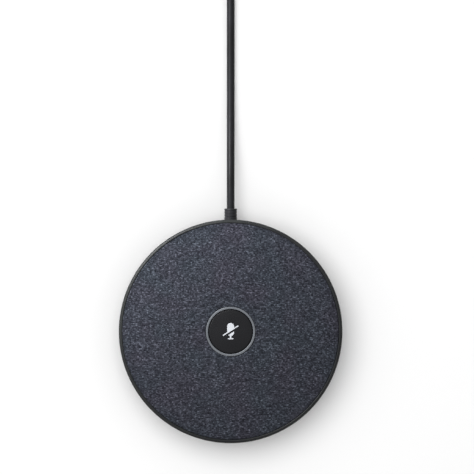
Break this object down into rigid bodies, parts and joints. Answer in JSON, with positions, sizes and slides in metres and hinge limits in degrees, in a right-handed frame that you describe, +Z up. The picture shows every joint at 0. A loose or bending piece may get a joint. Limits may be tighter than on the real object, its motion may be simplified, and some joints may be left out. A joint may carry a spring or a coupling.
{
  "type": "conference speakerphone",
  "caption": "Flat round conference speakerphone with an acoustic cloth top, a central lit mute key, a loudspeaker and microphones under the cloth, and an attached USB lead.",
  "frame": {"origin": "centre of the foot ring's underside, on the table, under the middle of the mute key", "axes": "+Z up through the mute key, +Y towards the lead's gland, +X to the right with the sign on the key upright"},
  "size_m": [0.124, 0.2818, 0.0198],
  "materials": {
    "moulded_housing": "fine moulded texture, black PC/ABS",
    "satin_rim": "satin black PC/ABS",
    "foot_silicone": "matt silicone rubber",
    "screw_steel": "zinc plated steel",
    "acoustic_cloth": "woven blue-grey melange polyester",
    "key_cap": "fine satin black ABS",
    "white_inlay": "white second-shot polycarbonate",
    "light_guide": "diffusing polycarbonate",
    "led_resin": "clear resin over phosphor",
    "connector_nylon": "natural nylon",
    "spring_steel": "drawn wire",
    "circuit_board": "green solder mask on glass-epoxy",
    "plated_steel": "zinc plated sheet",
    "chip_epoxy": "moulded epoxy",
    "can_aluminium": "drawn can",
    "coil_copper": "enamelled copper wire",
    "cone_paper": "pressed paper pulp",
    "soft_rubber": "soft rubber",
    "wire_jacket": "PVC insulation",
    "lead_jacket": "extruded TPE",
    "tie_webbing": "hook-and-loop nylon",
    "plug_plating": "nickel plated steel",
    "gold_contacts": "gold plated"
  },
  "bodies": {
    "housing": {"bottom_cover": "moulded_housing", "outer_ring": "satin_rim", "foot_ring": "foot_silicone", "housing_screws": "screw_steel", "board_screws": "screw_steel", "grille_carrier": "moulded_housing", "fabric_cover": "acoustic_cloth", "light_ring": "light_guide", "light_shield": "moulded_housing", "status_leds": "led_resin", "switch_body": "connector_nylon", "button_spring": "spring_steel", "main_board": "circuit_board", "ballast_plate": "plated_steel", "processor_chip": "chip_epoxy", "codec_chip": "chip_epoxy", "amplifier_chip": "chip_epoxy", "speaker_socket": "connector_nylon", "shield_can": "plated_steel", "electrolytic_caps": "can_aluminium", "mic_sockets": "connector_nylon", "small_parts": "chip_epoxy", "speaker_frame": "plated_steel", "speaker_magnet": "plated_steel", "speaker_surround": "soft_rubber", "speaker_gasket": "soft_rubber", "speaker_screws": "screw_steel", "speaker_leads": "wire_jacket", "mic_boots": "soft_rubber", "mic_boards": "circuit_board", "mic_cans": "plated_steel", "mic_leads": "wire_jacket", "cable_gland": "lead_jacket", "inner_lead": "lead_jacket", "cable_clamp": "moulded_housing", "clamp_screws": "screw_steel", "lead_socket": "connector_nylon", "lead_plug_housing": "connector_nylon", "lead_wires": "wire_jacket", "lead_run": "lead_jacket", "lead_coil": "lead_jacket", "lead_tail": "lead_jacket", "coil_tie": "tie_webbing", "plug_relief": "lead_jacket", "plug_overmould": "lead_jacket", "plug_shell": "plug_plating", "plug_tongue": "connector_nylon", "plug_contacts": "gold_contacts"},
    "mute_key": {"mute_button": "key_cap", "mute_icon": "white_inlay", "switch_plunger": "connector_nylon"},
    "speaker_diaphragm": {"speaker_cone": "cone_paper", "speaker_coil": "coil_copper"}
  },
  "joints": [
    {"name": "mute_key_press", "type": "slide", "parent": "housing", "child": "mute_key", "axis": [0, 0, -1], "range_m": [0, 0.0004], "stiffness_N_per_m": 900, "deforming": ["button_spring"]},
    {"name": "speaker_cone_travel", "type": "slide", "parent": "housing", "child": "speaker_diaphragm", "axis": [0, 0, 1], "range_m": [-0.0004, 0.0004], "stiffness_N_per_m": 600, "deforming": ["speaker_surround"]}
  ]
}
